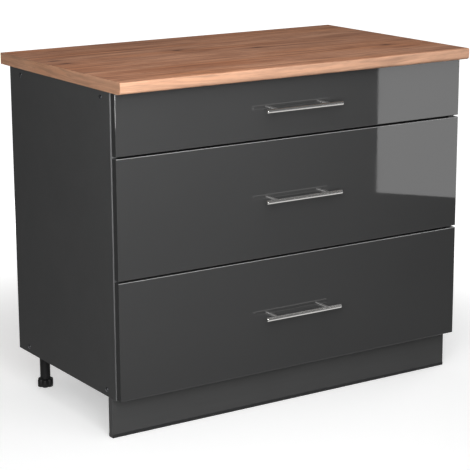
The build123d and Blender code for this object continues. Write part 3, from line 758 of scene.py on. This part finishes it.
def bridge(bm, lower, upper):
    for i in range(len(lower)):
        j = (i + 1) % len(lower)
        bm.faces.new((lower[i], lower[j], upper[j], upper[i]))


def addSkin(bm, rings):
    # the bottom and the wall of a stack of rings
    bm.faces.new(rings[0])
    for lower, upper in zip(rings, rings[1:]):
        bridge(bm, lower, upper)


def loopEdges(bm, loop):
    return [bm.edges.get((a, b)) or bm.edges.new((a, b)) for a, b in zip(loop, loop[1:] + loop[:1])]


def axisTurn(at, out):
    return Matrix.Translation(at) @ Vector(out).to_track_quat("Z", "Y").to_matrix().to_4x4()


def finishPiece(name, bm, body, node, slot, smoothBelow=40.0):
    bmesh.ops.recalc_face_normals(bm, faces=bm.faces)
    for face in bm.faces:
        face.smooth = True
    for edge in bm.edges:
        edge.smooth = edge.is_manifold and edge.calc_face_angle(math.pi) < math.radians(smoothBelow)
    mesh = bpy.data.meshes.new(name)
    bm.to_mesh(mesh)
    bm.free()
    mesh.materials.append(finishes[slot])
    piece = bpy.data.objects.new(name, mesh)
    bpy.context.scene.collection.objects.link(piece)
    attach(piece, body)
    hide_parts(node)


# screws: a crown is a list of (share of the head's radius, height above its seat)
sideScrewLook = {"sides": 32, "shank": 0.0030, "tip": 0.45, "drive": circlePoints,
                 "driveSize": (0.0022, 6), "driveDepth": 0.0012, "driveTaper": 0.8,
                 "crown": [(0.97, 0.0), (1.0, 0.0002), (0.97, 0.0007), (0.88, 0.0012), (0.72, 0.0016),
                           (0.52, 0.0018)]}
runnerScrewLook = {"sides": 20, "shank": 0.0030, "tip": 0.45, "drive": crossPoints,
                   "driveSize": (0.0023, 0.0006), "driveDepth": 0.0010, "driveTaper": 0.8,
                   "crown": [(1.0, 0.0002), (0.96, 0.0007), (0.82, 0.0011), (0.66, 0.0012)]}
bracketScrewLook = {"sides": 20, "shank": 0.0020, "tip": 0.45, "drive": crossPoints,
                    "driveSize": (0.0019, 0.0005), "driveDepth": 0.0014, "driveTaper": 0.8,
                    "crown": [(1.0, 0.0003), (0.97, 0.0010), (0.84, 0.0016), (0.66, 0.0018)]}
handleScrewLook = {"sides": 20, "shank": 0.0020, "tip": 0.45, "drive": crossPoints,
                   "driveSize": (0.0022, 0.00055), "driveDepth": 0.0016, "driveTaper": 0.8,
                   "crown": [(1.0, 0.0004), (0.97, 0.0014), (0.84, 0.0021), (0.64, 0.0024)]}
handleZone = 0.2  # screws nearer to the middle of a front than this hold its handle


def addScrew(bm, turn, length, radius, look):
    # local Z points out of the head, and the head's seat is at 0
    sides, shank = look["sides"], look["shank"]
    rings = [addLoop(bm, turn, circlePoints(shank * look["tip"], sides), -length),
             addLoop(bm, turn, circlePoints(shank, sides), -length + shank),
             addLoop(bm, turn, circlePoints(shank, sides), 0.0)]
    for share, height in look["crown"]:
        rings.append(addLoop(bm, turn, circlePoints(radius * share, sides), height))
    addSkin(bm, rings)
    top = look["crown"][-1][1]
    drive = look["drive"](*look["driveSize"])
    mouth = addLoop(bm, turn, drive, top)
    narrowed = [(x * look["driveTaper"], y * look["driveTaper"]) for x, y in drive]
    bottom = addLoop(bm, turn, narrowed, top - look["driveDepth"])
    bmesh.ops.triangle_fill(bm, edges=loopEdges(bm, rings[-1]) + loopEdges(bm, mouth), use_beauty=True)
    bridge(bm, mouth, bottom)
    bm.faces.new(bottom)


def makeScrews(name, node, body, slot, axis, way, pickLook):
    # one screw for each solid in the node; way tells which end of the solid is the head
    bm = bmesh.new()
    across = (axis + 1) % 3
    for low, high in looseBoxes(node):
        look = pickLook(low, high)
        head = look["crown"][-1][1]
        out = Vector((0.0, 0.0, 0.0))
        out[axis] = way(low)
        seat = (low + high) / 2
        seat[axis] = high[axis] - head if out[axis] > 0 else low[axis] + head
        length = high[axis] - low[axis] - head
        addScrew(bm, axisTurn(seat, out), length, (high[across] - low[across]) / 2, look)
    finishPiece(name, bm, body, node, slot)


def pickFrontScrew(low, high):
    return handleScrewLook if abs(low.x + high.x) / 2 < handleZone else bracketScrewLook


makeScrews("sideScrews", "carcass_screws", "carcass", "black_zinc", axis=0,
           way=lambda low: math.copysign(1.0, low.x), pickLook=lambda low, high: sideScrewLook)
makeScrews("runnerScrews", "runner_screws", "carcass", "zinc_steel", axis=0,
           way=lambda low: -math.copysign(1.0, low.x), pickLook=lambda low, high: runnerScrewLook)
for level in levels:
    makeScrews(f"{level}FrontScrews", f"{level}_front_screws", f"{level}_drawer", "zinc_steel", axis=1,
               way=lambda low: 1.0, pickLook=pickFrontScrew)

bumperLook = {"sides": 28, "dome": [(1.0, 0.0), (1.0, 0.0005), (0.95, 0.0011), (0.82, 0.0016),
                                    (0.60, 0.0019), (0.30, 0.0020)]}


def makeBumpers():
    bm = bmesh.new()
    for low, high in looseBoxes("front_bumpers"):
        turn = axisTurn(Vector(((low.x + high.x) / 2, high.y, (low.z + high.z) / 2)), (0, -1, 0))
        radius = (high.x - low.x) / 2
        rings = [addLoop(bm, turn, circlePoints(radius * share, bumperLook["sides"]), height)
                 for share, height in bumperLook["dome"]]
        addSkin(bm, rings)
        bm.faces.new(rings[-1])
    finishPiece("frontBumpers", bm, "carcass", "front_bumpers", "bumper_gel")


makeBumpers()

footLook = {"lobes": 6, "sides": 72, "dip": 0.22, "stemRadius": 0.0095, "stemSink": 0.001, "pitch": 0.0036,
            "turnSides": 24, "threadDepth": 0.0010,
            "grip": [(0.90, 0.0), (0.97, 0.0006), (1.0, 0.0018), (1.0, 0.0162), (0.965, 0.0186),
                     (0.88, 0.0200)]}


def lobePoints(reach):
    # round lobes that meet in narrow grooves
    points = []
    for i in range(footLook["sides"]):
        angle = 2 * math.pi * i / footLook["sides"]
        radius = reach * (1 - footLook["dip"] * (1 - abs(math.cos(footLook["lobes"] * angle / 2))))
        points.append((radius * math.cos(angle), radius * math.sin(angle)))
    return points


def addThread(bm, turn, low, high, radius):
    # one ridge that winds up the stem, with both ends run out flat
    sides, pitch = footLook["turnSides"], footLook["pitch"]
    rows = 2 * math.ceil((high - low) / pitch) + 3
    rings = []
    for row in range(rows):
        ring = []
        for i in range(sides):
            angle = 2 * math.pi * i / sides
            height = min(max(low + pitch * (row / 2 - 1 + i / sides), low), high)
            ridge = row % 2 == 1 and low < height < high
            reach = radius if ridge else radius - footLook["threadDepth"]
            point = Vector((reach * math.cos(angle), reach * math.sin(angle), height))
            ring.append(bm.verts.new(turn @ point))
        rings.append(ring)
    for row in range(rows - 3):
        lower = rings[row] + rings[row + 2][:1]  # a full turn ends where the row two above starts
        upper = rings[row + 1] + rings[row + 3][:1]
        for i in range(sides):
            bm.faces.new((lower[i], lower[i + 1], upper[i + 1], upper[i]))
    bmesh.ops.remove_doubles(bm, verts=bm.verts, dist=weldGap)
    bmesh.ops.holes_fill(bm, edges=[edge for edge in bm.edges if edge.is_boundary])


def makeFoot(node):
    low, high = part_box(node)
    reach = (high[0] - low[0]) / 2
    turn = Matrix.Translation(((low[0] + high[0]) / 2, (low[1] + high[1]) / 2, low[2]))
    bm = bmesh.new()
    rings = [addLoop(bm, turn, lobePoints(reach * share), height) for share, height in footLook["grip"]]
    addSkin(bm, rings)
    bm.faces.new(rings[-1])
    stemStart = footLook["grip"][-1][1] - footLook["stemSink"]
    addThread(bm, turn, stemStart, high[2] - low[2], footLook["stemRadius"])
    words = node.split("_")
    name = words[0] + "".join(word.title() for word in words[1:])
    finishPiece(name, bm, node, node, "black_plastic")


for node in ("front_left_foot", "front_right_foot", "rear_left_foot", "rear_right_foot"):
    makeFoot(node)
print("screws, bumpers and feet made")

# floor, light and camera
floorLook = {"half": 30.0, "rough": 0.9, "seen": (0.85, 0.85, 0.85), "bounced": (0.20, 0.20, 0.20),
             "glow": (0.7, 2.2, 0.42, 1.0),  # rises from 0.7 to 2.2 m off the middle
             "sparkle": (0.66, 0.52, 0.0, 0.75)}


def makeFloorPaper():
    # the sweep looks pale but throws little light back
    mat, tree, shader, coords = newFinish("studioFloor", Roughness=floorLook["rough"],
                                          Emission_Color=(1.0, 1.0, 1.0))
    reach = put(tree, "VectorMath", {0: coords["Object"]}, operation="LENGTH").outputs["Value"]
    glow = remap(tree, reach, *floorLook["glow"], curve="SMOOTHSTEP")
    rays = put(tree, "LightPath").outputs
    seen = rays["Is Camera Ray"]
    steep = remap(tree, put(tree, "LayerWeight").outputs["Facing"], *floorLook["sparkle"])
    sparkle = calc(tree, "MULTIPLY", steep, rays["Is Glossy Ray"])  # what the handle bars pick up from below
    feed(tree, shader["Emission Strength"], calc(tree, "ADD", calc(tree, "MULTIPLY", glow, seen), sparkle))
    feed(tree, shader["Base Color"], mixColor(tree, seen, floorLook["bounced"], floorLook["seen"]))
    return mat


def makeFloor():
    half = floorLook["half"]
    corners = [(-half, -half, 0), (half, -half, 0), (half, half, 0), (-half, half, 0)]
    mesh = bpy.data.meshes.new("studioFloor")
    mesh.from_pydata(corners, [], [(0, 1, 2, 3)])
    mesh.materials.append(makeFloorPaper())
    floor = bpy.data.objects.new("studioFloor", mesh)
    bpy.context.scene.collection.objects.link(floor)


makeFloor()

# white where the camera sees it, and brighter for rays mirrored twice: the bars' images in the gloss fronts
airLook = {"fill": 0.20, "seen": 1.0, "mirrored": 1.5, "mirrorsOver": 1.5}


def makeAir():
    world = bpy.data.worlds.new("studioAir")
    bpy.context.scene.world = world
    world.use_nodes = True
    tree = world.node_tree
    background = tree.nodes["Background"].inputs
    rays = put(tree, "LightPath").outputs
    plain = remap(tree, rays["Is Camera Ray"], 0.0, 1.0, airLook["fill"], airLook["seen"])
    twice = calc(tree, "GREATER_THAN", rays["Glossy Depth"], airLook["mirrorsOver"])
    feed(tree, background["Color"], (1.0, 1.0, 1.0))
    feed(tree, background["Strength"],
         calc(tree, "ADD", plain, calc(tree, "MULTIPLY", twice, airLook["mirrored"])))


makeAir()
bpy.context.scene.view_settings.view_transform = "Standard"  # a plain product shot, no film curve

# glow is the brightness of the lit face; a mirror box only shows in reflections, a soft one only lights
lightLook = {
    "leftKey": {"at": (-1.25, -1.9, 1.2), "target": (-0.4, -0.27, 1.25), "size": (1.4, 1.4), "glow": 4.3,
                "spread": 120.0},
    "overhead": {"at": (-0.3, -1.15, 2.0), "target": (0.0, 0.0, 0.85), "size": (1.2, 1.2), "glow": 2.35,
                 "use": "soft"},
    "rightPanel": {"at": (1.28, -0.795, 0.65), "target": (0.50, -0.165, 0.65), "size": (1.02, 0.80),
                   "glow": 2.85, "use": "mirror"},
    "leftStrip": {"at": (-1.35, -0.83, 0.63), "target": (-0.498, -0.267, 0.63), "size": (0.50, 0.14),
                  "glow": 40.0, "use": "mirror"},
    "rightFill": {"at": (2.0, 0.40, 0.50), "target": (0.5, 0.05, 0.50), "size": (0.8, 0.6), "glow": 6.0,
                  "use": "soft"},
    "backFill": {"at": (0.3, 2.3, 0.50), "target": (0.0, 0.25, 0.50), "size": (1.4, 0.6), "glow": 4.0,
                 "use": "soft"},
}


def addSoftbox(name, at, target, size, glow, use="both", spread=180.0):
    light = bpy.data.lights.new(name, "AREA")
    light.shape = "RECTANGLE"
    light.size, light.size_y = size
    light.energy = glow * math.pi * size[0] * size[1]
    light.spread = math.radians(spread)
    box = bpy.data.objects.new(name, light)
    box.location = at
    box.rotation_euler = (Vector(target) - Vector(at)).to_track_quat("-Z", "Y").to_euler()
    box.visible_camera = False
    box.visible_diffuse = use != "mirror"
    box.visible_glossy = use != "soft"
    bpy.context.scene.collection.objects.link(box)


for name, look in lightLook.items():
    addSoftbox(name, **look)

# the photo's own place and angle, solved from the cabinet's edges
shot = {"yaw": 33.098, "pitch": 13.790, "roll": -0.243, "focalPixels": 1724.0, "framePixels": 470.0,
        "at": (-2.3420, -3.5822, 1.4270), "sensor": 36.0, "clipEnd": 200.0}


def addCamera():
    yaw, pitch, roll = (math.radians(shot[key]) for key in ("yaw", "pitch", "roll"))
    look = Vector((math.sin(yaw) * math.cos(pitch), math.cos(yaw) * math.cos(pitch), -math.sin(pitch)))
    right = Vector((math.cos(yaw), -math.sin(yaw), 0.0))
    up = right.cross(look)
    side = right * math.cos(roll) + up * math.sin(roll)
    top = up * math.cos(roll) - right * math.sin(roll)
    data = bpy.data.cameras.new("photoCamera")
    data.sensor_width = shot["sensor"]
    data.lens = shot["sensor"] * shot["focalPixels"] / shot["framePixels"]
    data.clip_end = shot["clipEnd"]
    camera = bpy.data.objects.new("photoCamera", data)
    turn = Matrix((side, top, -look)).transposed().to_4x4()
    camera.matrix_world = Matrix.Translation(Vector(shot["at"])) @ turn
    bpy.context.scene.collection.objects.link(camera)
    bpy.context.scene.camera = camera


addCamera()
print("floor, lights and camera set")
